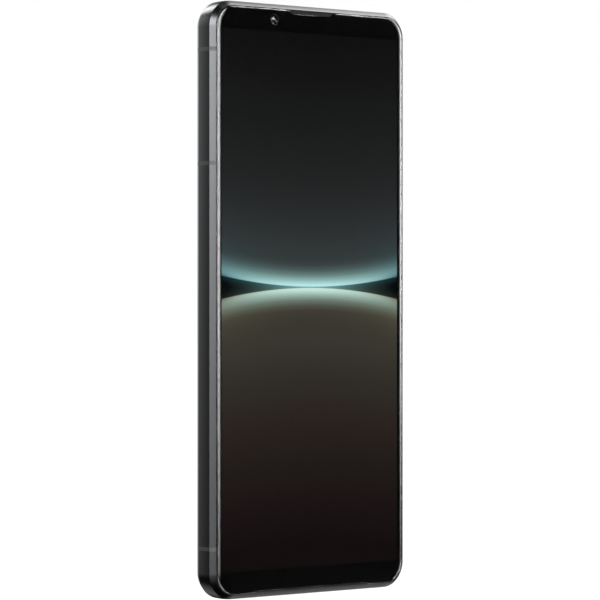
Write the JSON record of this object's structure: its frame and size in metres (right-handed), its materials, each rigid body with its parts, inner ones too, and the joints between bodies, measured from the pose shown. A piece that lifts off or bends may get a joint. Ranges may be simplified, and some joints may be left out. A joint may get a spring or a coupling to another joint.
{
  "type": "smartphone",
  "caption": "Slim tall-screen smartphone with a metal frame, glass front and rear, side keys, card tray, audio socket and a pill-shaped rear camera island.",
  "frame": {"origin": "middle of the bottom edge that the handset stands on, halfway through its width and thickness", "axes": "+Z along the length from the bottom edge to the top edge, +X to the right seen from the screen side, screen facing -Y"},
  "size_m": [0.0675, 0.0092, 0.156],
  "materials": {
    "anodised_frame": "dark anodised, fine satin",
    "antenna_plastic": "moulded between the metal runs",
    "cover_glass": "strengthened, 2.5D edge, black border printed beneath",
    "tape": "black foam tape",
    "screen": "light-emitting panel under clear film",
    "copper_foil": "rolled copper-coloured foil",
    "ribbon": "amber polyimide film",
    "sound_mesh": "black woven mesh",
    "speaker_case": "black glass-filled plastic",
    "speaker_cone": "pressed film dome",
    "camera_black": "black camera plastic",
    "coated_lens": "coated lens glass",
    "sensor_window": "infrared window",
    "circuit_board": "green solder mask with gold pads",
    "shield_tin": "tinned sheet",
    "chip_resin": "moulded black resin",
    "thermal_pad": "soft grey-blue pad",
    "graphite": "graphite film",
    "socket_plastic": "black socket plastic",
    "seal_rubber": "soft sealing rubber",
    "gold_contact": "gold-plated",
    "battery_pouch": "black laminated pouch",
    "pull_tab": "white stretch adhesive",
    "coil_copper": "enamelled copper winding",
    "ferrite": "flexible ferrite sheet",
    "tungsten": "sintered tungsten",
    "cable_jacket": "black coaxial jacket",
    "bracket_plastic": "black bracket plastic",
    "sensor_glass": "smooth sensor lacquer",
    "tray_plastic": "dark moulded tray, painted door",
    "rear_glass": "frosted black glass",
    "camera_metal": "dark polished rim",
    "camera_glass": "black lens window",
    "module_steel": "stamped camera can",
    "sensor_silicon": "iridescent silicon",
    "flash_phosphor": "yellow phosphor",
    "flash_lens": "clear fluted lens"
  },
  "bodies": {
    "handset": {"mid_frame": "anodised_frame", "antenna_breaks": "antenna_plastic", "cover_glass": "cover_glass", "display_adhesive": "tape", "display_panel": "screen", "display_backing": "copper_foil", "display_flex": "ribbon", "earpiece_mesh": "sound_mesh", "earpiece_speaker": "speaker_case", "front_camera": "camera_black", "front_camera_lens": "coated_lens", "proximity_sensor": "sensor_window", "loudspeaker_box": "speaker_case", "loudspeaker_mesh": "sound_mesh", "main_board": "circuit_board", "board_shields": "shield_tin", "board_chips": "chip_resin", "thermal_pad": "thermal_pad", "graphite_sheet": "graphite", "sub_board": "circuit_board", "usb_receptacle": "shield_tin", "usb_tongue": "socket_plastic", "usb_seal": "seal_rubber", "audio_jack": "socket_plastic", "audio_jack_seal": "seal_rubber", "microphones": "gold_contact", "battery_cell": "battery_pouch", "battery_board": "circuit_board", "battery_adhesive": "pull_tab", "charging_coil": "coil_copper", "coil_shield": "ferrite", "haptic_housing": "shield_tin", "main_flex": "ribbon", "antenna_cable": "cable_jacket", "upper_bracket": "bracket_plastic", "lower_bracket": "bracket_plastic", "bracket_screws": "shield_tin", "key_flex": "ribbon", "dome_switches": "gold_contact", "tray_reader": "shield_tin", "rear_glass": "rear_glass", "rear_adhesive": "tape", "camera_trim": "camera_metal", "camera_glass": "camera_glass", "camera_housings": "module_steel", "image_sensors": "sensor_silicon", "flash_led": "flash_phosphor", "flash_lens": "flash_lens"},
    "volume_key": {"volume_key": "anodised_frame"},
    "power_key": {"power_key": "anodised_frame", "fingerprint_sensor": "sensor_glass"},
    "shutter_key": {"shutter_key": "anodised_frame"},
    "card_tray": {"sim_tray": "tray_plastic", "sim_tray_seal": "seal_rubber"},
    "haptic_mass": {"haptic_mass": "tungsten"},
    "earpiece_cone": {"earpiece_cone": "speaker_cone"},
    "loudspeaker_cone": {"loudspeaker_cone": "speaker_cone"},
    "ultrawide_barrel": {"ultrawide_barrel": "camera_black"},
    "wide_barrel": {"wide_barrel": "camera_black"},
    "tele_barrel": {"tele_barrel": "camera_black"}
  },
  "joints": [
    {"name": "volume_rock", "type": "hinge", "parent": "handset", "child": "volume_key", "pos_m": [0.03055, -0.0003, 0.124], "axis": [0, 1, 0], "range_deg": [-1.5, 1.5], "stiffness_Nm_per_rad": 0.3},
    {"name": "power_press", "type": "slide", "parent": "handset", "child": "power_key", "axis": [-1, 0, 0], "range_m": [0, 0.00025], "stiffness_N_per_m": 3000},
    {"name": "shutter_press", "type": "slide", "parent": "handset", "child": "shutter_key", "axis": [-1, 0, 0], "range_m": [0, 0.00025], "stiffness_N_per_m": 3000},
    {"name": "tray_pull", "type": "slide", "parent": "handset", "child": "card_tray", "axis": [0, 0, -1], "range_m": [0, 0.026]},
    {"name": "buzz", "type": "slide", "parent": "handset", "child": "haptic_mass", "axis": [1, 0, 0], "range_m": [-0.0004, 0.0004], "stiffness_N_per_m": 1700},
    {"name": "earpiece_travel", "type": "slide", "parent": "handset", "child": "earpiece_cone", "axis": [0, -1, 0], "range_m": [-0.00025, 0.00025], "stiffness_N_per_m": 1000},
    {"name": "loudspeaker_travel", "type": "slide", "parent": "handset", "child": "loudspeaker_cone", "axis": [0, -1, 0], "range_m": [-0.00025, 0.00025], "stiffness_N_per_m": 1000},
    {"name": "ultrawide_focus", "type": "slide", "parent": "handset", "child": "ultrawide_barrel", "axis": [0, 1, 0], "range_m": [0, 0.0003], "stiffness_N_per_m": 400},
    {"name": "wide_focus", "type": "slide", "parent": "handset", "child": "wide_barrel", "axis": [0, 1, 0], "range_m": [0, 0.0003], "stiffness_N_per_m": 400},
    {"name": "tele_focus", "type": "slide", "parent": "handset", "child": "tele_barrel", "axis": [0, 1, 0], "range_m": [0, 0.0003], "stiffness_N_per_m": 400}
  ]
}
